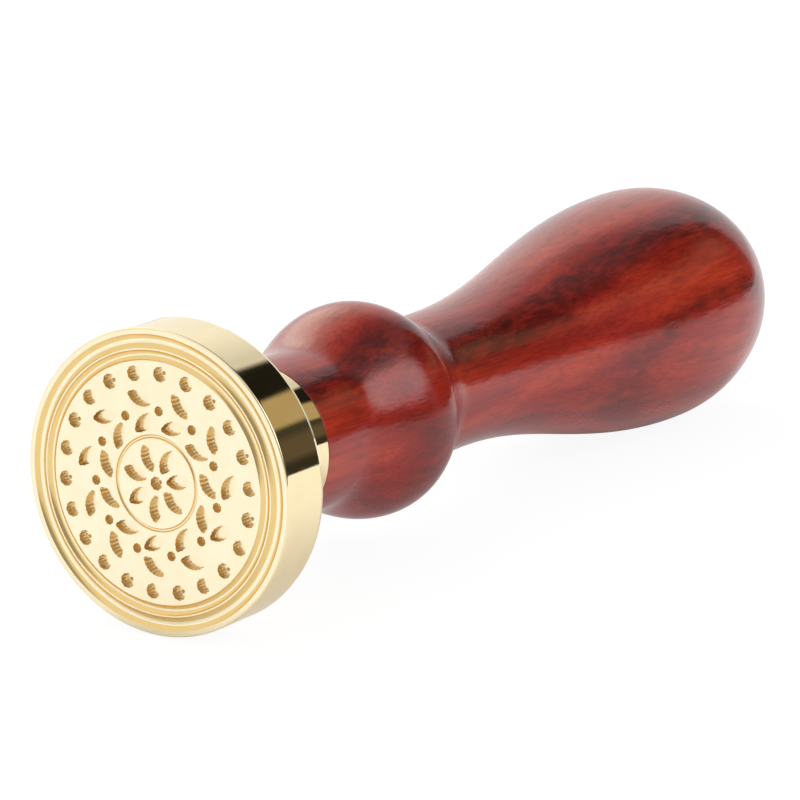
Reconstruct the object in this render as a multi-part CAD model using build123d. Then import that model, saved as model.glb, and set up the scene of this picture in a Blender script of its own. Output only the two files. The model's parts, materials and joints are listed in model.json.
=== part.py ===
from build123d import *
import math
import os

# Wax seal stamp, in millimetres: a brass head, a threaded stud and a turned wooden handle.
# The pieces are drawn upright, with the seal face at height 0 and the handle above it. They are then
# laid on their side together, the way the stamp lies on a desk, with the seal face towards -Y.

# Brass head: a disc that carries the seal face, and a neck behind it that takes the stud
disc_radius = 12.5
disc_thickness = 5.0
disc_front_round = 0.3
disc_back_chamfer = 0.2
neck_radius = 6.8
neck_length = 9.5
neck_root_round = 0.4
neck_end_chamfer = 0.3

# Angle about the axis at which the head stops when it is screwed tight, in degrees
head_angle = 2.4

# Seal face: lip, outer groove, thin ridge, inner groove, then the flat field with the design
lip_width = 0.2
outer_groove_width = 1.14
ridge_width = 0.12
inner_groove_width = 0.85
groove_depth = 0.25

# Engraved design: a rosette in a ring, a wreath of paired leaves with berries, and a border of beads
engraving_depth = 0.55
rosette_petals = 7
rosette_inner_radius = 0.95
petal_length = 2.3
petal_width = 1.2
rosette_eye_radius = 0.55
ring_radius = 3.8
ring_width = 0.3
wreath_pairs = 11
wreath_radius = 5.9
leaf_offset = 0.98
leaf_length = 2.35
leaf_width = 1.15
leaf_slant = 32.0
berry_radius = 0.4
bead_count = 22
bead_radius = 0.62
bead_border = 1.0

# Thread of the stud and the hole in the head: M7, drawn as rings
thread_diameter = 7.0
thread_pitch = 1.0
thread_depth = 0.6
thread_crest = 0.125
thread_flank_angle = 30.0
thread_clearance = 0.05
stud_lead = 0.4

# Blind holes for the stud, in the head and in the handle
drill_point_angle = 118.0
face_wall = 2.9
head_hole_gap = 0.5
handle_hole_depth = 20.5
handle_hole_gap = 0.5

# Handle: radii, heights above its foot, and how long each curve stays near its two ends
handle_length = 79.0
foot_edge_round = 0.25
foot_length = 5.5
knob_radius = 9.3
knob_height = 14.5
waist_radius = 6.25
waist_start = 23.0
waist_end = 27.0
belly_radius = 11.1
belly_height = 63.5
foot_hold = 0.36
knob_front_hold = 0.40
knob_back_hold = 0.38
waist_front_hold = 0.46
waist_back_hold = 0.40
belly_hold = 0.36

# Share of its width and height at which a curve's controls make it a quarter of an ellipse
quarter_oval = 0.5523

# Places and sizes that follow from the ones above
seat = disc_thickness + neck_length
hole_radius = thread_diameter / 2
stud_radius = hole_radius - thread_clearance
drill_tip = hole_radius / math.tan(math.radians(drill_point_angle / 2))
head_hole_floor = face_wall + drill_tip
stud_nose = head_hole_floor + head_hole_gap
stud_tail = seat + handle_hole_depth - handle_hole_gap
outer_groove_radius = disc_radius - disc_front_round - lip_width
ridge_radius = outer_groove_radius - outer_groove_width
inner_groove_radius = ridge_radius - ridge_width
field_radius = inner_groove_radius - inner_groove_width


def turned(outline):
    """Solid of revolution about the upright axis, from an outline of (radius, height)."""
    return revolve(Plane.XZ * make_face(outline), axis=Axis.Z)


def groove(outer, inner):
    """Rounded turned groove in the seal face, from its outer radius to its inner one."""
    return ThreePointArc((outer, 0), ((outer + inner) / 2, groove_depth), (inner, 0))


def head_blank():
    """Brass head before engraving: face, rim, back, neck and the blind hole with its drill point."""
    round_reach = disc_front_round * (1 - math.sqrt(0.5))
    root_reach = neck_root_round * (1 - math.sqrt(0.5))
    outline = [
        Line((0, 0), (field_radius, 0)),
        groove(inner_groove_radius, field_radius),
        Line((inner_groove_radius, 0), (ridge_radius, 0)),
        groove(outer_groove_radius, ridge_radius),
        Line((outer_groove_radius, 0), (disc_radius - disc_front_round, 0)),
        ThreePointArc(
            (disc_radius - disc_front_round, 0),
            (disc_radius - round_reach, round_reach),
            (disc_radius, disc_front_round),
        ),
        Polyline(
            (disc_radius, disc_front_round),
            (disc_radius, disc_thickness - disc_back_chamfer),
            (disc_radius - disc_back_chamfer, disc_thickness),
            (neck_radius + neck_root_round, disc_thickness),
        ),
        ThreePointArc(
            (neck_radius + neck_root_round, disc_thickness),
            (neck_radius + root_reach, disc_thickness + root_reach),
            (neck_radius, disc_thickness + neck_root_round),
        ),
        Polyline(
            (neck_radius, disc_thickness + neck_root_round),
            (neck_radius, seat - neck_end_chamfer),
            (neck_radius - neck_end_chamfer, seat),
            (hole_radius, seat),
            (hole_radius, head_hole_floor),
            (0, face_wall),
            (0, 0),
        ),
    ]
    return turned(outline)


def around(count, radius, shape, turn=0.0):
    """Copies of a flat shape spaced evenly on a circle of the seal face."""
    step = 360 / count
    return [Rot(Z=turn + step * number) * Pos(0, radius) * shape for number in range(count)]


def leaf(length, width):
    """Pointed oval, lying along Y, for a petal or a leaf."""
    tip = (0, length / 2)
    base = (0, -length / 2)
    return make_face([ThreePointArc(base, (width / 2, 0), tip), ThreePointArc(tip, (-width / 2, 0), base)])


def design():
    """Outlines of the whole engraved design, on the seal face."""
    petal = leaf(petal_length, petal_width)
    wreath_leaf = leaf(leaf_length, leaf_width)
    shapes = [Circle(rosette_eye_radius)]
    shapes += around(rosette_petals, rosette_inner_radius + petal_length / 2, petal)
    shapes.append(Circle(ring_radius + ring_width / 2) - Circle(ring_radius - ring_width / 2))
    shapes += around(wreath_pairs, wreath_radius - leaf_offset, Rot(Z=90 - leaf_slant) * wreath_leaf)
    shapes += around(wreath_pairs, wreath_radius + leaf_offset, Rot(Z=90 + leaf_slant) * wreath_leaf)
    shapes += around(wreath_pairs, wreath_radius, Circle(berry_radius), turn=180 / wreath_pairs)
    shapes += around(bead_count, field_radius - bead_border, Circle(bead_radius))
    return shapes


def seal_head():
    """Brass head with the design cut into its seal face."""
    engraved = head_blank() - [extrude(shape, engraving_depth, dir=(0, 0, 1)) for shape in design()]
    return Rot(Z=head_angle) * engraved


def threaded_stud():
    """Steel stud from inside the head to inside the handle, with its thread drawn as rings."""
    core = stud_radius - thread_depth
    flank = thread_depth * math.tan(math.radians(thread_flank_angle))
    length = stud_tail - stud_nose
    rings = int((length - 2 * stud_lead) / thread_pitch)
    first = stud_nose + (length - rings * thread_pitch) / 2
    points = [(0, stud_nose), (core, stud_nose)]
    for ring in range(rings):
        start = first + ring * thread_pitch
        points += [
            (core, start),
            (stud_radius, start + flank),
            (stud_radius, start + flank + thread_crest),
            (core, start + 2 * flank + thread_crest),
        ]
    points += [(core, stud_tail), (0, stud_tail)]
    return turned(Polyline(points, close=True))


def swell(low, high, low_hold, high_hold):
    """Curve between two (radius, height) points, upright at both ends, with no step where curves meet."""
    rise = high[1] - low[1]
    return Bezier(low, (low[0], low[1] + low_hold * rise), (high[0], high[1] - high_hold * rise), high)


def wooden_handle():
    """Turned handle: foot as wide as the neck, knob, waist, belly and rounded end, with the stud's hole."""
    foot = (neck_radius, seat + foot_length)
    knob = (knob_radius, seat + knob_height)
    waist_low = (waist_radius, seat + waist_start)
    waist_high = (waist_radius, seat + waist_end)
    belly = (belly_radius, seat + belly_height)
    top = seat + handle_length
    end_length = handle_length - belly_height
    round_reach = foot_edge_round * (1 - math.sqrt(0.5))
    outline = [
        Line((hole_radius, seat), (neck_radius - foot_edge_round, seat)),
        ThreePointArc(
            (neck_radius - foot_edge_round, seat),
            (neck_radius - round_reach, seat + round_reach),
            (neck_radius, seat + foot_edge_round),
        ),
        Line((neck_radius, seat + foot_edge_round), foot),
        swell(foot, knob, foot_hold, knob_front_hold),
        swell(knob, waist_low, knob_back_hold, waist_front_hold),
        Line(waist_low, waist_high),
        swell(waist_high, belly, waist_back_hold, belly_hold),
        Bezier(
            belly,
            (belly_radius, belly[1] + quarter_oval * end_length),
            (quarter_oval * belly_radius, top),
            (0, top),
        ),
        Polyline(
            (0, top),
            (0, seat + handle_hole_depth + drill_tip),
            (hole_radius, seat + handle_hole_depth),
            (hole_radius, seat),
        ),
    ]
    return turned(outline)


def rest_tilt():
    """Angle, in degrees, by which the axis dips towards the handle when the stamp lies on disc and belly.

    The desk touches the disc at one edge of its rim, and the belly where its rounded end begins, so
    the angle is that of a line through that edge, tangent to the ellipse of the end.
    """
    rim_back = disc_thickness - disc_back_chamfer
    edge = rim_back if disc_radius > belly_radius else disc_front_round
    reach = seat + belly_height - edge
    end = handle_length - belly_height
    square = reach**2 - end**2
    part = disc_radius * reach
    root = math.sqrt(part**2 - square * (disc_radius**2 - belly_radius**2))
    return math.degrees(math.atan((part - root) / square))


# The upright pieces are turned onto their side, then moved so that the desk is at z = 0 and the
# stamp's box is centred on the origin
pieces = {"seal_head": seal_head(), "threaded_stud": threaded_stud(), "wooden_handle": wooden_handle()}
lay = Rot(X=-(90 + rest_tilt()))
box = Compound([lay * piece for piece in pieces.values()]).bounding_box()
place = Pos(-box.center().X, -box.center().Y, -box.min.Z) * lay

os.makedirs("parts", exist_ok=True)
for name, piece in pieces.items():
    export_step(place * piece, f"parts/{name}.step")

face_point = (place * Pos(0, 0, 0)).position
axis_way = (place * Pos(0, 0, 1)).position - face_point
print("tilt", rest_tilt(), "face centre", face_point, "axis from face to handle", axis_way)
print("box", box.size, "thread held", seat - stud_nose)
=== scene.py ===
import json
import math

import bmesh
import bpy
from mathutils import Matrix, Vector


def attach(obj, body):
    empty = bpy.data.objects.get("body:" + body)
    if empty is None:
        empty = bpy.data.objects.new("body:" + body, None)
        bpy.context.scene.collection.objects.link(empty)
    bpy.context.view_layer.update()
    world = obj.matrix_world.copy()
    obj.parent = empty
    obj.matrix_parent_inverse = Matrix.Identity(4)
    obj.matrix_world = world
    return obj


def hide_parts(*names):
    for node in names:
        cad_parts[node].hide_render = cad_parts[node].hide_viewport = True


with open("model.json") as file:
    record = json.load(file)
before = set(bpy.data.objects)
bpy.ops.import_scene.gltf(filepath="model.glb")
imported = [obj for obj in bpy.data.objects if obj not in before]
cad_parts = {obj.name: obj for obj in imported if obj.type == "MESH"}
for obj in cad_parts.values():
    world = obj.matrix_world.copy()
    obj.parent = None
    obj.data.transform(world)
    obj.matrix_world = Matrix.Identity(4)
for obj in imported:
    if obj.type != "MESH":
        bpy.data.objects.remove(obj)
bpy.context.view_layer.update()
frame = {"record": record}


# Wooden handle
# One length of red rosewood, turned on a lathe to a foot, a round knob, a waist and a pear-shaped grip.
# It is bored at the foot for the stud, then dipped in clear gloss lacquer.
mm = 0.001
seat = 14.5
stud_hole = 3.5
hole_end = seat + 20.5
drill_tip = stud_hole / math.tan(math.radians(59))
neck_radius = 6.8
foot_round = 0.1
foot_end = seat + 5.5
knob_radius = 9.3
knob_middle = seat + 14.5
waist_radius = 6.25
waist_start = seat + 23.0
waist_end = seat + 27.0
belly_radius = 11.1
belly_middle = seat + 63.5
handle_top = seat + 79.0
# Reach of a curve's handles that makes it a quarter of a circle or an ellipse
quarter = 0.5523


def corner(radius, height):
    """Sharp point of a turned outline."""
    return radius, height, (0, 0), (0, 0)


def along(radius, height, before, after):
    """Point of a turned outline where it runs along the axis, with the reach of its curves."""
    return radius, height, (0, -before), (0, after)


def across(radius, height, before, after):
    """Point of a turned outline where it runs square to the axis, with the reach of its curves."""
    return radius, height, (-before, 0), (after, 0)


def outline_object(name, points, steps):
    """Curve through the points of a turned outline, with radius along X and height along Z."""
    curve = bpy.data.curves.new(name, "CURVE")
    curve.dimensions = "3D"
    spline = curve.splines.new("BEZIER")
    spline.bezier_points.add(len(points) - 1)
    spline.resolution_u = steps
    for knot, (radius, height, before, after) in zip(spline.bezier_points, points):
        knot.co = Vector((radius, 0, height)) * mm
        knot.handle_left_type = "FREE" if any(before) else "VECTOR"
        knot.handle_right_type = "FREE" if any(after) else "VECTOR"
        knot.handle_left = Vector((radius + before[0], 0, height + before[1])) * mm
        knot.handle_right = Vector((radius + after[0], 0, height + after[1])) * mm
    shape = bpy.data.objects.new(name, curve)
    bpy.context.scene.collection.objects.link(shape)
    return shape


def new_tree(name, inputs):
    """Empty node tree that takes and gives geometry, with more named inputs for its sizes."""
    tree = bpy.data.node_groups.new(name, "GeometryNodeTree")
    tree.interface.new_socket("Geometry", in_out="INPUT", socket_type="NodeSocketGeometry")
    for label, kind in inputs:
        tree.interface.new_socket(label, in_out="INPUT", socket_type=kind)
    tree.interface.new_socket("Geometry", in_out="OUTPUT", socket_type="NodeSocketGeometry")
    return tree, tree.nodes.new("NodeGroupInput").outputs, tree.nodes.new("NodeGroupOutput").inputs


def add(tree, kind, inputs=(), **settings):
    """New node with its settings, and its inputs linked to sockets or set to values."""
    node = tree.nodes.new(kind)
    for label, value in settings.items():
        setattr(node, label, value)
    for key, value in dict(inputs).items():
        if isinstance(value, bpy.types.NodeSocket):
            tree.links.new(value, node.inputs[key])
        else:
            node.inputs[key].default_value = value
    return node.outputs


def work_out(tree, operation, *values):
    """Result socket of a Math node."""
    return add(tree, "ShaderNodeMath", dict(enumerate(values)), operation=operation)[0]


def turning_tree():
    """Tree that turns an outline once round the Z axis and welds the seam and the poles."""
    tree, given, result = new_tree("turning", [("Facets", "NodeSocketInt"), ("Finish", "NodeSocketMaterial")])
    wire = add(tree, "GeometryNodeCurveToMesh", {"Curve": given["Geometry"]})["Mesh"]
    size = add(tree, "GeometryNodeAttributeDomainSize", {"Geometry": wire})["Point Count"]
    column_count = work_out(tree, "ADD", given["Facets"], 1.0)
    grid = add(tree, "GeometryNodeMeshGrid", {"Vertices X": size, "Vertices Y": column_count})["Mesh"]
    index = add(tree, "GeometryNodeInputIndex")[0]
    row = work_out(tree, "FLOOR", work_out(tree, "DIVIDE", index, column_count))
    column = work_out(tree, "MODULO", index, column_count)
    place = add(tree, "GeometryNodeInputPosition")[0]
    point = add(tree, "GeometryNodeSampleIndex", {"Geometry": wire, "Value": place, "Index": row},
                data_type="FLOAT_VECTOR")[0]
    point = add(tree, "ShaderNodeSeparateXYZ", {0: point})
    turn = work_out(tree, "MULTIPLY", work_out(tree, "DIVIDE", column, given["Facets"]), math.tau)
    spot = add(tree, "ShaderNodeCombineXYZ", {
        0: work_out(tree, "MULTIPLY", point[0], work_out(tree, "COSINE", turn)),
        1: work_out(tree, "MULTIPLY", point[0], work_out(tree, "SINE", turn)),
        2: point[2],
    })[0]
    body = add(tree, "GeometryNodeSetPosition", {"Geometry": grid, "Position": spot})[0]
    body = add(tree, "GeometryNodeMergeByDistance", {"Geometry": body, "Distance": 0.001 * mm})[0]
    body = add(tree, "GeometryNodeRealizeInstances", {"Geometry": body})[0]
    body = add(tree, "GeometryNodeSetMaterial", {"Geometry": body, "Material": given["Finish"]})[0]
    tree.links.new(body, result[0])
    return tree


def grow(shape, tree, sizes):
    """Node modifier on an object, with the tree's named inputs set."""
    modifier = shape.modifiers.new(tree.name, "NODES")
    modifier.node_group = tree
    for socket in tree.interface.items_tree:
        if socket.in_out == "INPUT" and socket.name in sizes:
            modifier[socket.identifier] = sizes[socket.name]


def plain_mesh(shape, name):
    """Plain mesh of what an object's modifiers make; the object itself goes."""
    graph = bpy.context.evaluated_depsgraph_get()
    mesh = bpy.data.meshes.new_from_object(shape.evaluated_get(graph), depsgraph=graph)
    mesh.name = name
    bpy.data.objects.remove(shape)
    return mesh


def lay_down():
    """Matrix from the upright stamp, with its seal face at height 0, to the stamp that lies on the desk."""
    mount = frame["record"]["mounts"][0]
    way = -Vector(mount["axis"]).normalized()
    side = Vector((1, 0, 0))
    turn = Matrix((side, way.cross(side), way)).transposed().to_4x4()
    return Matrix.Translation((0, mount["pos_m"][1], mount["pos_m"][2])) @ turn


def finished_piece(mesh, sharp_angle):
    """Object of a mesh that was drawn upright: welded, faced outwards, smooth, and laid on the desk."""
    work = bmesh.new()
    work.from_mesh(mesh)
    bmesh.ops.remove_doubles(work, verts=work.verts, dist=0.0005 * mm)
    bmesh.ops.dissolve_degenerate(work, edges=work.edges, dist=0.0005 * mm)
    bmesh.ops.recalc_face_normals(work, faces=work.faces)
    work.to_mesh(mesh)
    work.free()
    mesh.shade_smooth()
    mesh.set_sharp_from_angle(angle=math.radians(sharp_angle))
    mesh.transform(lay_down())
    piece = bpy.data.objects.new(mesh.name, mesh)
    bpy.context.scene.collection.objects.link(piece)
    return piece


def new_material(name):
    """Material with its node tree and its shader."""
    material = bpy.data.materials.new(name)
    material.use_nodes = True
    return material, material.node_tree, material.node_tree.nodes["Principled BSDF"].inputs


def stamp_place(tree, stretch=(1, 1, 1)):
    """Place on the stamp in millimetres, with the axis along Z and the seal face at 0, then stretched."""
    seen = add(tree, "ShaderNodeTexCoord")["Object"]
    upright = lay_down().inverted()
    turned = add(tree, "ShaderNodeMapping", {
        "Vector": seen,
        "Location": upright.translation / mm,
        "Rotation": upright.to_euler(),
        "Scale": (1 / mm, 1 / mm, 1 / mm),
    })[0]
    return add(tree, "ShaderNodeMapping", {"Vector": turned, "Scale": stretch})[0]


def noise(tree, place, scale, detail=3.0, rough=0.55, twist=0.0):
    """Noise value between 0 and 1."""
    return add(tree, "ShaderNodeTexNoise", {
        "Vector": place, "Scale": scale, "Detail": detail, "Roughness": rough, "Distortion": twist,
    })[0]


def ramp(tree, value, stops, mode="LINEAR"):
    """Colour that follows a value through (place, colour) stops."""
    node = tree.nodes.new("ShaderNodeValToRGB")
    node.color_ramp.interpolation = mode
    marks = node.color_ramp.elements
    while len(marks) < len(stops):
        marks.new(0.5)
    for mark, (spot, colour) in zip(marks, stops):
        mark.position = spot
        mark.color = (*colour, 1)
    tree.links.new(value, node.inputs[0])
    return node.outputs[0]


def grey(level):
    """Grey of a level."""
    return level, level, level


def mix(tree, share, first, second, how="MIX"):
    """Mix of two colours."""
    node = tree.nodes.new("ShaderNodeMix")
    node.data_type = "RGBA"
    node.blend_type = how
    colours = [socket for socket in node.inputs if socket.type == "RGBA"]
    for socket, value in zip([node.inputs[0], *colours], (share, first, second)):
        if isinstance(value, bpy.types.NodeSocket):
            tree.links.new(value, socket)
        else:
            socket.default_value = value if isinstance(value, float) else (*value, 1)
    return [socket for socket in node.outputs if socket.type == "RGBA"][0]


def bump(tree, height, reach, below=None):
    """Normal that follows a height value, with its reach in millimetres."""
    inputs = {"Height": height, "Strength": 1.0, "Distance": reach * mm}
    if below:
        inputs["Normal"] = below
    return add(tree, "ShaderNodeBump", inputs)[0]


def rosewood():
    """Lacquered red rosewood: dark layers, streaks, short flecks and fine fibres, with painted light: a
    paler, more orange band along the top, where the lamps fall.
    """
    material, tree, shader = new_material("rosewood_lacquered")
    half_log = 12.0
    section = add(tree, "ShaderNodeSeparateXYZ", {0: stamp_place(tree)})
    sway = noise(tree, stamp_place(tree, (0.16, 0.16, 0.035)), 1.0, detail=3.0)
    depth = work_out(tree, "ADD", work_out(tree, "MULTIPLY", section[0], 0.92),
                     work_out(tree, "MULTIPLY", section[1], 0.39))
    swing = work_out(tree, "MULTIPLY", work_out(tree, "SUBTRACT", sway, 0.5), 3.6)
    depth = work_out(tree, "ADD", depth, swing)
    layer = add(tree, "ShaderNodeMapRange", {"Value": depth, 1: -half_log, 2: half_log})[0]
    heart = ramp(tree, layer, [
        (0.060, grey(0.1)),
        (0.115, grey(0.88)),
        (0.140, grey(0.95)),
        (0.195, grey(0.2)),
        (0.250, grey(0.0)),
        (0.430, grey(0.0)),
        (0.500, grey(0.14)),
        (0.546, grey(0.88)),
        (0.577, grey(1.0)),
        (0.630, grey(0.88)),
        (0.690, grey(0.20)),
        (0.740, grey(0.0)),
        (0.800, grey(0.0)),
        (0.854, grey(0.62)),
        (0.910, grey(0.0)),
    ], "EASE")
    fleck = noise(tree, stamp_place(tree, (1.0, 1.0, 0.40)), 1.0, detail=2.0, rough=0.6)
    fibre = noise(tree, stamp_place(tree, (4.5, 4.5, 0.12)), 1.0, detail=2.0)
    ground = noise(tree, stamp_place(tree, (0.30, 0.30, 0.05)), 1.0, detail=2.0)
    colour = ramp(tree, ground, [
        (0.34, (0.180, 0.007, 0.003)),
        (0.50, (0.260, 0.011, 0.004)),
        (0.68, (0.355, 0.026, 0.008)),
    ])
    # Painted light: a paler, more orange band along the top of the handle, where the lamps light it
    painted_lit_top = ramp(tree, layer, [(0.18, grey(0.0)), (0.29, grey(0.5)), (0.36, grey(0.45)), (0.47, grey(0.0))])
    colour = mix(tree, painted_lit_top, colour, (0.370, 0.060, 0.016))
    spots = ramp(tree, fleck, [(0.38, grey(0.52)), (0.52, grey(0.84)), (0.62, grey(0.97))])
    stain = mix(tree, 1.0, heart, spots, "MULTIPLY")
    colour = mix(tree, stain, colour, (0.058, 0.004, 0.003))
    specks = ramp(tree, fleck, [(0.54, grey(0.0)), (0.72, grey(0.3))])
    colour = mix(tree, specks, colour, (0.085, 0.005, 0.004))
    fibres = ramp(tree, fibre, [(0.32, grey(0.72)), (0.58, grey(1.0))])
    colour = mix(tree, 1.0, colour, fibres, "MULTIPLY")
    tree.links.new(colour, shader["Base Color"])
    rough = ramp(tree, fleck, [(0.30, grey(0.45)), (0.70, grey(0.6))])
    tree.links.new(rough, shader["Roughness"])
    ripple = noise(tree, stamp_place(tree, (1.6, 1.6, 0.6)), 1.0, detail=3.0)
    normal = bump(tree, ripple, 0.030)
    tree.links.new(normal, shader["Coat Normal"])
    tree.links.new(bump(tree, fibre, 0.010, normal), shader["Normal"])
    shader["Specular IOR Level"].default_value = 0.0
    shader["Coat Weight"].default_value = 1.0
    shader["Coat Roughness"].default_value = 0.18
    shader["Coat IOR"].default_value = 1.52
    return material


knob_front = knob_middle - foot_end
knob_back = waist_start - knob_middle
grip_length = belly_middle - waist_end
end_length = handle_top - belly_middle
handle_outline = [
    corner(0, hole_end + drill_tip),
    corner(stud_hole, hole_end),
    corner(stud_hole, seat),
    (neck_radius - foot_round, seat, (0, 0), (quarter * foot_round, 0)),
    (neck_radius, seat + foot_round, (0, -quarter * foot_round), (0, 0)),
    along(neck_radius, foot_end, 0, 0.36 * knob_front),
    along(knob_radius, knob_middle, 0.40 * knob_front, 0.38 * knob_back),
    along(waist_radius, waist_start, 0.46 * knob_back, 0),
    along(waist_radius, waist_end, 0, 0.40 * grip_length),
    along(belly_radius, belly_middle, 0.36 * grip_length, quarter * end_length),
    across(0, handle_top, -quarter * belly_radius, 0),
]
turning = turning_tree()
blank = outline_object("handle_outline", handle_outline, 28)
grow(blank, turning, {"Facets": 192, "Finish": rosewood()})
handle = finished_piece(plain_mesh(blank, "handle_turned"), 40)
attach(handle, "handle")
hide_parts("wooden_handle")


# Threaded stud
# A length of steel screw rod with a 7 mm thread, one turn to the millimetre, and a short lead at each end.
# It is glued into the handle, and the head screws onto the end that stands out.
def thread_tree():
    """Tree that winds a thread round a rod along Z."""
    tree, given, result = new_tree("screw_thread", [
        ("Facets", "NodeSocketInt"),
        ("Rings", "NodeSocketInt"),
        ("Start", "NodeSocketFloat"),
        ("Length", "NodeSocketFloat"),
        ("Pitch", "NodeSocketFloat"),
        ("Core Radius", "NodeSocketFloat"),
        ("Thread Depth", "NodeSocketFloat"),
        ("Lead", "NodeSocketFloat"),
        ("Finish", "NodeSocketMaterial"),
    ])
    column_count = work_out(tree, "ADD", given["Facets"], 1.0)
    grid = add(tree, "GeometryNodeMeshGrid", {
        "Vertices X": given["Rings"],
        "Vertices Y": column_count,
    })["Mesh"]
    index = add(tree, "GeometryNodeInputIndex")[0]
    row = work_out(tree, "FLOOR", work_out(tree, "DIVIDE", index, column_count))
    turn = work_out(tree, "DIVIDE", work_out(tree, "MODULO", index, column_count), given["Facets"])
    last_row = work_out(tree, "SUBTRACT", given["Rings"], 1.0)
    height = work_out(tree, "MULTIPLY", work_out(tree, "DIVIDE", row, last_row), given["Length"])
    phase = work_out(tree, "SUBTRACT", work_out(tree, "DIVIDE", height, given["Pitch"]), turn)
    wave = work_out(tree, "PINGPONG", phase, 0.5)
    root_end = 0.1
    crest_start = 0.44
    flank = add(tree, "ShaderNodeMapRange", {"Value": wave, 1: root_end, 2: crest_start, 3: 0.0, 4: 1.0})[0]
    from_tail = work_out(tree, "SUBTRACT", given["Length"], height)
    near_end = work_out(tree, "MINIMUM", height, from_tail)
    fade = add(tree, "ShaderNodeMapRange", {"Value": near_end, 1: 0.0, 2: given["Lead"], 3: 0.0, 4: 1.0})[0]
    tooth = work_out(tree, "MULTIPLY", work_out(tree, "MULTIPLY", flank, fade), given["Thread Depth"])
    rod = work_out(tree, "ADD", given["Core Radius"], tooth)
    angle = work_out(tree, "MULTIPLY", turn, math.tau)
    spot = add(tree, "ShaderNodeCombineXYZ", {
        0: work_out(tree, "MULTIPLY", rod, work_out(tree, "COSINE", angle)),
        1: work_out(tree, "MULTIPLY", rod, work_out(tree, "SINE", angle)),
        2: work_out(tree, "ADD", height, given["Start"]),
    })[0]
    body = add(tree, "GeometryNodeSetPosition", {"Geometry": grid, "Position": spot})[0]
    body = add(tree, "GeometryNodeMergeByDistance", {"Geometry": body, "Distance": 0.001 * mm})[0]
    body = add(tree, "GeometryNodeRealizeInstances", {"Geometry": body})[0]
    body = add(tree, "GeometryNodeSetMaterial", {"Geometry": body, "Material": given["Finish"]})[0]
    tree.links.new(body, result[0])
    return tree


def cut_steel():
    """Zinc-grey steel with cutting marks round the thread and a little oil-dark colour."""
    material, tree, shader = new_material("steel_cut")
    stain = noise(tree, stamp_place(tree, (0.8, 0.8, 0.8)), 1.0, detail=4.0)
    colour = ramp(tree, stain, [(0.32, (0.34, 0.33, 0.31)), (0.66, (0.58, 0.57, 0.55))])
    tree.links.new(colour, shader["Base Color"])
    rough = ramp(tree, stain, [(0.3, grey(0.42)), (0.7, grey(0.24))])
    tree.links.new(rough, shader["Roughness"])
    marks = noise(tree, stamp_place(tree, (1.2, 1.2, 24.0)), 1.0, detail=1.0)
    tree.links.new(bump(tree, marks, 0.006), shader["Normal"])
    shader["Metallic"].default_value = 1.0
    return material


stud_nose = 5.503
stud_tail = 34.5
rows_per_turn = 16
thread_turns = 29
rod = bpy.data.objects.new("stud_rod", bpy.data.meshes.new("stud_rod"))
bpy.context.scene.collection.objects.link(rod)
grow(rod, thread_tree(), {
    "Facets": 64,
    "Rings": rows_per_turn * thread_turns + 1,
    "Start": stud_nose * mm,
    "Length": (stud_tail - stud_nose) * mm,
    "Pitch": 1.0 * mm,
    "Core Radius": 2.85 * mm,
    "Thread Depth": 0.6 * mm,
    "Lead": 0.8 * mm,
    "Finish": cut_steel(),
})
stud_mesh = plain_mesh(rod, "stud_threaded")
work = bmesh.new()
work.from_mesh(stud_mesh)
bmesh.ops.remove_doubles(work, verts=work.verts, dist=0.0005 * mm)
bmesh.ops.holes_fill(work, edges=[edge for edge in work.edges if edge.is_boundary], sides=0)
work.to_mesh(stud_mesh)
work.free()
stud = finished_piece(stud_mesh, 30)
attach(stud, "stud")
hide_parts("threaded_stud")


# Brass head
# One turned brass piece: a disc with the seal face, two grooves inside its lip, and a neck with a bored hole.
# The rim is polished, the face is fine-turned, and the design is cut into it with a small round mill.
def brass(name, tint, smooth, marks):
    """Brass with a little tarnish in its colour and gloss, and turning marks round the axis."""
    material, tree, shader = new_material(name)
    tarnish = noise(tree, stamp_place(tree, (0.35, 0.35, 0.35)), 1.0, detail=4.0)
    warm = [channel * share for channel, share in zip(tint, (0.985, 0.97, 0.93))]
    colour = ramp(tree, tarnish, [(0.35, warm), (0.62, tint)])
    tree.links.new(colour, shader["Base Color"])
    rough = ramp(tree, tarnish, [(0.3, grey(smooth * 1.3)), (0.7, grey(smooth * 0.85))])
    tree.links.new(rough, shader["Roughness"])
    away = add(tree, "ShaderNodeSeparateXYZ", {0: stamp_place(tree)})
    reach = work_out(tree, "SQRT", work_out(
        tree, "ADD", work_out(tree, "POWER", away[0], 2.0), work_out(tree, "POWER", away[1], 2.0)))
    rings = add(tree, "ShaderNodeCombineXYZ", {0: work_out(tree, "MULTIPLY", reach, 9.0),
                                               1: work_out(tree, "MULTIPLY", away[2], 9.0)})[0]
    lines = noise(tree, rings, 1.0, detail=2.0)
    tree.links.new(bump(tree, lines, marks), shader["Normal"])
    shader["Metallic"].default_value = 1.0
    return material


def groove(outer, inner, depth):
    """Points of a groove in the seal face that is an arc from its outer edge to its inner one."""
    half = (outer - inner) / 2
    radius = (half ** 2 + depth ** 2) / (2 * depth)
    lean = math.asin(half / radius)
    reach = radius * math.tan(lean / 4) * 4 / 3
    slope = Vector((reach * math.cos(lean), reach * math.sin(lean)))
    return [
        (outer, 0, (0, 0), (-slope.x, slope.y)),
        across(outer - half, depth, -reach, -reach),
        (inner, 0, (slope.x, slope.y), (0, 0)),
    ]


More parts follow.
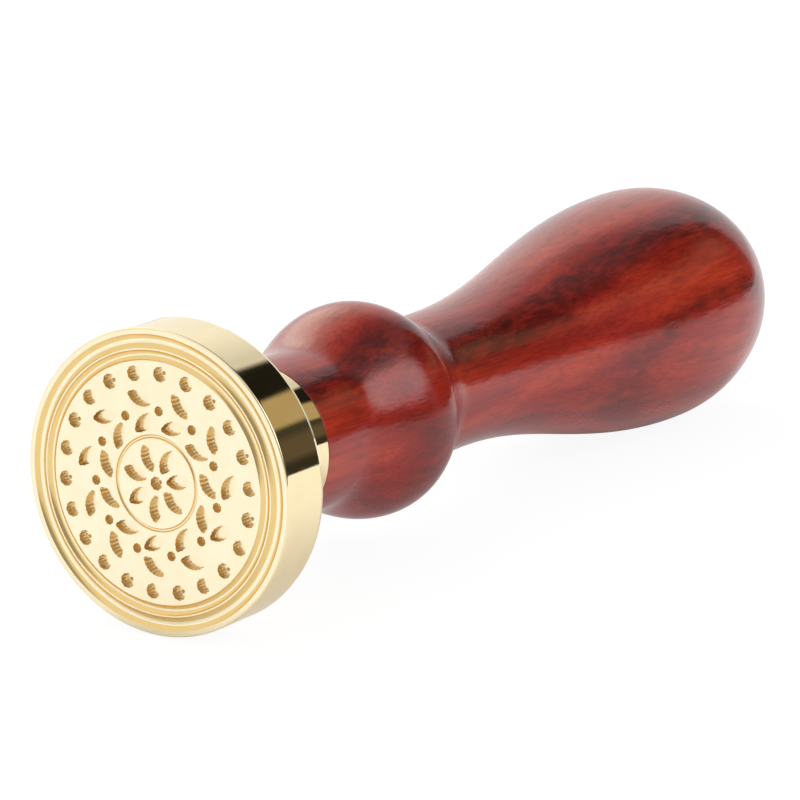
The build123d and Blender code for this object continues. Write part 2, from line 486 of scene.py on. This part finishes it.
disc_radius = 12.5
disc_thickness = 5.0
face_wall = 2.9
neck_chamfer = 0.1
neck_round = 0.4
edge_round = 0.15
back_bevel = (0.1, 0.32)
outer_groove = (12.0, 10.86, 0.25)
inner_groove = (10.74, 9.89, 0.25)
rosette_ring = (3.95, 3.65, 0.14)
head_outline = [
    corner(0, face_wall),
    corner(stud_hole, face_wall + drill_tip),
    corner(stud_hole, seat),
    corner(neck_radius - neck_chamfer, seat),
    corner(neck_radius, seat - neck_chamfer),
    (neck_radius, disc_thickness + neck_round, (0, 0), (0, -quarter * neck_round)),
    (neck_radius + neck_round, disc_thickness, (-quarter * neck_round, 0), (0, 0)),
    corner(disc_radius - back_bevel[0], disc_thickness),
    corner(disc_radius, disc_thickness - back_bevel[1]),
    corner(disc_radius, 2 * edge_round),
    (disc_radius, edge_round, (0, 0), (0, -quarter * edge_round)),
    (disc_radius - edge_round, 0, (quarter * edge_round, 0), (0, 0)),
    *groove(*outer_groove),
    *groove(*inner_groove),
    *groove(*rosette_ring),
    corner(0, 0),
]
head_blank = outline_object("head_outline", head_outline, 8)
face_brass = brass("brass_fine_turned", (1.0, 0.895, 0.65), 0.16, 0.003)
# Painted shade and reflection: the walls of the grooves and of the milled cuts get a darker, more saturated
# brass than the flat face, for the shade and dark reflections in these recesses
groove_wall_shade_brass = brass("brass_turned_groove", (0.85, 0.61, 0.26), 0.18, 0.004)
cut_wall_shade_brass = brass("brass_freshly_cut", (0.74, 0.53, 0.27), 0.2, 0.004)
floor_brass = brass("brass_milled_floor", (0.985, 0.87, 0.61), 0.17, 0.004)
rim_brass = brass("brass_polished", (0.95, 0.81, 0.52), 0.05, 0.001)
grow(head_blank, turning, {"Facets": 192, "Finish": rim_brass})
head_mesh = plain_mesh(head_blank, "head_turned")


def leaf_edge(length, width, count):
    """Points round a pointed oval that lies along Y, each with the way out of it."""
    reach = (length ** 2 - width ** 2) / (4 * width)
    radius = reach + width / 2
    half_angle = math.asin(length / 2 / radius)
    points = []
    for side in (1, -1):
        for step in range(count):
            angle = half_angle * (2 * (step + 0.5) / count - 1) * side
            out = Vector((math.cos(angle) * side, math.sin(angle)))
            points.append((Vector((out.x * radius - reach * side, out.y * radius)), out))
    return points


def round_edge(radius, count):
    """Points round a circle, each with the way out of it."""
    points = []
    for step in range(count):
        angle = math.tau * step / count
        out = Vector((math.cos(angle), math.sin(angle)))
        points.append((out * radius, out))
    return points


def mill_cut(name, edge, flute_points, dot):
    """Shape that a small round mill takes out: fluted walls that lean in towards a flat floor.

    The floor of a dotted cut keeps a small cone in its middle.
    """
    depth = 0.55
    flute = 0.05
    dot_tip = 0.2
    rings = ((-0.2, 1.0), (0.0, 1.0), (0.44, 0.94), (0.52, 0.91), (depth, 0.86))
    work = bmesh.new()
    loops = []
    for height, share in rings:
        loop = []
        for number, (spot, out) in enumerate(edge):
            lobe = flute * abs(math.sin(math.pi * number / flute_points))
            point = (spot + out * lobe) * share
            loop.append(work.verts.new((point.x * mm, point.y * mm, height * mm)))
        loops.append(loop)
    count = len(edge)
    for low, high in zip(loops, loops[1:]):
        for number in range(count):
            after = (number + 1) % count
            work.faces.new((low[number], low[after], high[after], high[number]))
    work.faces.new(loops[0])
    if dot:
        tip = work.verts.new((0, 0, dot_tip * mm))
        base = [work.verts.new((out.x * dot * mm, out.y * dot * mm, depth * mm)) for spot, out in edge]
        for number in range(count):
            after = (number + 1) % count
            work.faces.new((loops[-1][number], loops[-1][after], base[after], base[number]))
            work.faces.new((base[number], base[after], tip))
    else:
        work.faces.new(loops[-1])
    bmesh.ops.recalc_face_normals(work, faces=work.faces)
    mesh = bpy.data.meshes.new(name)
    work.to_mesh(mesh)
    work.free()
    shape = bpy.data.objects.new(name, mesh)
    bpy.context.scene.collection.objects.link(shape)
    return shape


def engraving_tree():
    """Tree that cuts copies of one shape out of the seal face, evenly spaced on a circle."""
    tree, given, result = new_tree("engraved_ring", [
        ("Cut", "NodeSocketObject"),
        ("Copies", "NodeSocketInt"),
        ("Radius", "NodeSocketFloat"),
        ("Start", "NodeSocketFloat"),
        ("Lean", "NodeSocketFloat"),
        ("Finish", "NodeSocketMaterial"),
    ])
    index = add(tree, "GeometryNodeInputIndex")[0]
    step = work_out(tree, "DIVIDE", math.tau, given["Copies"])
    turn = work_out(tree, "ADD", work_out(tree, "MULTIPLY", index, step), given["Start"])
    side = work_out(tree, "MULTIPLY", work_out(tree, "SINE", turn), given["Radius"])
    spot = add(tree, "ShaderNodeCombineXYZ", {
        0: work_out(tree, "MULTIPLY", side, -1.0),
        1: work_out(tree, "MULTIPLY", work_out(tree, "COSINE", turn), given["Radius"]),
    })[0]
    points = add(tree, "GeometryNodePoints", {"Count": given["Copies"], "Position": spot})[0]
    shape = add(tree, "GeometryNodeObjectInfo", {"Object": given["Cut"]})["Geometry"]
    swing = add(tree, "ShaderNodeCombineXYZ", {2: work_out(tree, "ADD", turn, given["Lean"])})[0]
    cuts = add(tree, "GeometryNodeInstanceOnPoints", {
        "Points": points,
        "Instance": shape,
        "Rotation": swing,
    })[0]
    cuts = add(tree, "GeometryNodeRealizeInstances", {"Geometry": cuts})[0]
    body = add(tree, "GeometryNodeMeshBoolean", {"Mesh 1": given["Geometry"], "Mesh 2": cuts},
               operation="DIFFERENCE", solver="EXACT")["Mesh"]
    body = add(tree, "GeometryNodeRealizeInstances", {"Geometry": body})[0]
    body = add(tree, "GeometryNodeSetMaterial", {"Geometry": body, "Material": given["Finish"]})[0]
    tree.links.new(body, result[0])
    return tree


head_angle = math.radians(2.4)
petal_cut = mill_cut("petal_cut", leaf_edge(2.25, 1.15, 42), 6, 0)
leaf_cut = mill_cut("leaf_cut", leaf_edge(2.3, 1.1, 42), 6, 0)
berry_cut = mill_cut("berry_cut", round_edge(0.37, 40), 5, 0)
bead_cut = mill_cut("bead_cut", round_edge(0.59, 54), 6, 0)
dotted_cut = mill_cut("dotted_cut", round_edge(0.59, 54), 6, 0.16)
eye_cut = mill_cut("eye_cut", round_edge(0.52, 48), 6, 0.15)
# Each ring: the cut, its copies, the circle's radius in millimetres, the first copy's turn and the lean
engraved_rings = [
    (eye_cut, 1, 0.0, 0.0, 0.0),
    (petal_cut, 7, 2.1, 0.0, 0.0),
    (leaf_cut, 11, 4.92, 0.0, 58.0),
    (leaf_cut, 11, 6.88, 0.0, 122.0),
    (berry_cut, 11, 5.9, 180 / 11, 0.0),
    (bead_cut, 11, 8.89, 0.0, 0.0),
    (dotted_cut, 11, 8.89, 180 / 11, 0.0),
]
head_shape = bpy.data.objects.new("head_shape", head_mesh)
bpy.context.scene.collection.objects.link(head_shape)
engraving = engraving_tree()
for cut, copies, radius, start, lean in engraved_rings:
    grow(head_shape, engraving, {
        "Cut": cut,
        "Copies": copies,
        "Radius": radius * mm,
        "Start": math.radians(start) + head_angle,
        "Lean": math.radians(lean),
        "Finish": rim_brass,
    })
head_mesh = plain_mesh(head_shape, "head_engraved")
for cut in (petal_cut, leaf_cut, berry_cut, bead_cut, dotted_cut, eye_cut):
    bpy.data.objects.remove(cut)
for finish in (face_brass, groove_wall_shade_brass, cut_wall_shade_brass, floor_brass):
    head_mesh.materials.append(finish)
lip_radius = disc_radius - 0.1
deepest_cut = 0.6
for face in head_mesh.polygons:
    reach = Vector(face.center[:2]).length / mm
    depth = face.center.z / mm
    finish = rim_brass
    if depth < 0.001 and reach < lip_radius:
        finish = face_brass
    elif depth < deepest_cut and reach < outer_groove[0]:
        on_ring = rosette_ring[1] - 0.05 < reach < rosette_ring[0] + 0.05
        turned = on_ring or reach > inner_groove[1] - 0.04
        # Painted shade: steep walls in the grooves and cuts take the darker brass
        steep = abs(face.normal.z) < 0.98
        painted_shade_finish, flat_finish = (groove_wall_shade_brass, face_brass) if turned else (cut_wall_shade_brass, floor_brass)
        finish = painted_shade_finish if steep else flat_finish
    face.material_index = head_mesh.materials.find(finish.name)
head = finished_piece(head_mesh, 14)
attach(head, "head")
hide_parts("seal_head")


# Desk and light
# The stamp lies on a wide white sheet in a white room, between two large soft lamps.
# Only reflections show the lamps' round cloths, the dim ceiling and the cards that stand round the desk.
def flat_mesh(name, corners, faces):
    """Stage object of a few flat faces."""
    mesh = bpy.data.meshes.new(name)
    mesh.from_pydata(corners, [], faces)
    shape = bpy.data.objects.new(name, mesh)
    bpy.context.scene.collection.objects.link(shape)
    return shape


def seen_rays(tree):
    """1 for rays from the camera, glossy surfaces and clear ones, 0 for the light of the room."""
    path = add(tree, "ShaderNodeLightPath")
    seen = work_out(tree, "MAXIMUM", path["Is Camera Ray"], path["Is Glossy Ray"])
    return work_out(tree, "MAXIMUM", seen, path["Is Transmission Ray"])


def lit_paper(tree, colour, glow):
    """White paper that is partly lit by the lamps, so that it keeps the stamp's shadow, and partly glows."""
    lit = add(tree, "ShaderNodeBsdfDiffuse", {"Color": (*grey(colour), 1)})[0]
    light = add(tree, "ShaderNodeEmission", {"Color": (1, 1, 1, 1), "Strength": glow})[0]
    return add(tree, "ShaderNodeAddShader", {0: lit, 1: light})[0]


half_floor = 3.0
floor = flat_mesh("white_sheet", [(-half_floor, -half_floor, 0), (half_floor, -half_floor, 0),
                                  (half_floor, half_floor, 0), (-half_floor, half_floor, 0)], [(0, 1, 2, 3)])
paper = bpy.data.materials.new("white_paper")
paper.use_nodes = True
tree = paper.node_tree
tree.nodes.clear()
path = add(tree, "ShaderNodeLightPath")
mirrored = add(tree, "ShaderNodeMixShader", {
    0: seen_rays(tree),
    1: lit_paper(tree, 0.95, 0.15),
    2: lit_paper(tree, 0.73, 0.14),
})[0]
shown = add(tree, "ShaderNodeMixShader", {
    0: path["Is Camera Ray"],
    1: mirrored,
    2: lit_paper(tree, 0.10, 0.92),
})[0]
add(tree, "ShaderNodeOutputMaterial", {"Surface": shown})
floor.data.materials.append(paper)

room = bpy.data.worlds.new("white_room")
bpy.context.scene.world = room
room.use_nodes = True
tree = room.node_tree
tree.nodes.clear()
level = add(tree, "ShaderNodeMapRange", {"Value": seen_rays(tree), 3: 0.8, 4: 1.0})[0]
sky = add(tree, "ShaderNodeBackground", {"Color": (1, 1, 1, 1), "Strength": level})[0]
add(tree, "ShaderNodeOutputWorld", {"Surface": sky})


def look_out(turn, rise, reach):
    """Point that is seen from the stamp, turned right of +Y and raised above the desk, in degrees."""
    turn, rise = math.radians(turn), math.radians(rise)
    return Vector((math.sin(turn) * math.cos(rise), math.cos(turn) * math.cos(rise), math.sin(rise))) * reach


def shade_cloth():
    """Cloth that glows with the colours of its corners, and is clear where their cover ends."""
    cloth = bpy.data.materials.new("shade_cloth")
    cloth.use_nodes = True
    tree = cloth.node_tree
    tree.nodes.clear()
    shade = add(tree, "ShaderNodeVertexColor", layer_name="shade")
    glow = add(tree, "ShaderNodeEmission", {"Color": shade["Color"]})[0]
    clear = add(tree, "ShaderNodeBsdfTransparent")[0]
    seen = add(tree, "ShaderNodeMixShader", {0: shade["Alpha"], 1: clear, 2: glow})[0]
    add(tree, "ShaderNodeOutputMaterial", {"Surface": seen})
    return cloth


def reflected_cloth(name, rows):
    """Cloth that only shows in reflections, from rows of (place, colour, cover) corners."""
    wide = len(rows[0])
    faces = []
    for row in range(len(rows) - 1):
        for column in range(wide - 1):
            near = row * wide + column
            faces.append((near, near + 1, near + wide + 1, near + wide))
    spots = [spot for row in rows for spot in row]
    cloth = flat_mesh(name, [place for place, colour, cover in spots], faces)
    shade = cloth.data.color_attributes.new("shade", "FLOAT_COLOR", "POINT")
    for mark, (place, colour, cover) in zip(shade.data, spots):
        mark.color = (*colour, cover)
    cloth.data.materials.append(card_cloth)
    cloth.visible_camera = False
    cloth.visible_diffuse = False
    cloth.visible_shadow = False


def standing_card(name, turns, fades, bands):
    """Curved card between two turns, with (reach, height, colour, cover) bands; its two ends fade out."""
    columns = 48
    rows = []
    for reach, height, colour, cover in bands:
        row = []
        for column in range(columns + 1):
            turn = turns[0] + (turns[1] - turns[0]) * column / columns
            share = min(1, (turn - turns[0]) / fades[0], (turns[1] - turn) / fades[1])
            row.append((look_out(turn, 0, reach) + Vector((0, 0, height)), colour, cover * share))
        rows.append(row)
    reflected_cloth(name, rows)


def round_cloth(name, place, radius, colour):
    """Round cloth that faces the stamp, with a soft edge."""
    columns = 48
    facing = place.to_track_quat("Z", "Y").to_matrix()
    rows = []
    for share, cover in ((0.0, 1.0), (0.5, 0.95), (0.78, 0.5), (1.0, 0.0)):
        row = []
        for column in range(columns + 1):
            angle = math.tau * column / columns
            spot = facing @ Vector((math.cos(angle), math.sin(angle), 0)) * radius * share
            row.append((place + spot, colour, cover))
        rows.append(row)
    reflected_cloth(name, rows)


card_cloth = shade_cloth()
umber = (0.035, 0.030, 0.020)
olive = (0.112, 0.086, 0.054)
moss = (0.055, 0.050, 0.034)
straw = (0.46, 0.36, 0.20)
black = (0.013, 0.012, 0.009)
standing_card("card_behind", (3, 62), (3, 8), [
    (0.25, 0.0, umber, 1),
    (0.30, 0.02, umber, 1),
    (0.36, 0.045, olive, 1),
    (0.55, 0.125, olive, 1),
    (0.78, 0.22, moss, 1),
    (1.0, 0.313, moss, 1),
    (1.0, 0.360, black, 1),
    (1.0, 1.05, black, 1),
    (1.0, 1.32, black, 0),
])
standing_card("straw_strip", (13, 56), (3, 8), [
    (0.99, 0.313, straw, 0),
    (0.99, 0.350, straw, 1),
    (0.99, 0.552, straw, 1),
    (0.99, 0.585, straw, 0),
])
standing_card("card_back_left", (-24, 10), (22, 6), [
    (1.1, 0.0, grey(0.72), 1),
    (1.1, 1.1, grey(0.72), 1),
    (1.1, 1.5, grey(0.72), 0),
])
standing_card("card_right", (54, 122), (10, 14), [
    (0.25, 0.0, grey(0.12), 1),
    (0.9, 0.2, grey(0.22), 1),
    (0.9, 1.1, grey(0.22), 1),
    (0.9, 1.5, grey(0.22), 0),
])
standing_card("card_front", (108, 185), (14, 20), [
    (0.9, 0.03, grey(0.4), 0),
    (0.9, 0.12, grey(0.4), 1),
    (0.9, 1.0, grey(0.4), 1),
    (0.9, 1.5, grey(0.4), 0),
])
round_cloth("ceiling", Vector((0.05, 0.35, 0.95)), 0.65, grey(0.25))


def lamp(name, place, size, level):
    """Round area lamp that faces the stamp and stays out of reflections, where a cloth stands for it."""
    light = bpy.data.lights.new(name, "AREA")
    light.shape = "DISK"
    light.size = size
    light.energy = level * math.pi * math.pi * (size / 2) ** 2
    stand = bpy.data.objects.new(name, light)
    stand.location = place
    stand.rotation_euler = place.to_track_quat("Z", "Y").to_euler()
    stand.visible_glossy = False
    bpy.context.scene.collection.objects.link(stand)


lamp("softbox", look_out(79, 34, 0.6), 0.36, 3.3)
round_cloth("softbox_cloth", look_out(79, 34, 0.6), 0.26, grey(2.9))
lamp("left_lamp", look_out(-75, 50, 0.8), 0.6, 3.4)
round_cloth("left_lamp_cloth", look_out(-60, 28, 0.8), 0.30, (2.4, 2.25, 2.0))


# Camera
# A long lens, a third of a metre away, to the right of the seal face and a little above the stamp.
# It stands aside of the centre of the seal face, above it and back from it, in millimetres.
azimuth = math.radians(32.2)
elevation = math.radians(14.85)
aside = 19.175
above = 6.578
away = 314.863
right = Vector((math.cos(azimuth), math.sin(azimuth), 0))
level_back = Vector((math.sin(azimuth), -math.cos(azimuth), 0))
back = level_back * math.cos(elevation) + Vector((0, 0, math.sin(elevation)))
up = back.cross(right)
lens = bpy.data.cameras.new("long_lens")
lens.lens = 180
lens.sensor_width = 36
lens.clip_start = 0.01
lens.clip_end = 20
camera = bpy.data.objects.new("long_lens", lens)
stand = lay_down().translation + (aside * right + above * up + away * back) * mm
camera.matrix_world = Matrix.Translation(stand) @ Matrix((right, up, back)).transposed().to_4x4()
bpy.context.scene.collection.objects.link(camera)
bpy.context.scene.camera = camera
bpy.context.scene.view_settings.view_transform = "Standard"
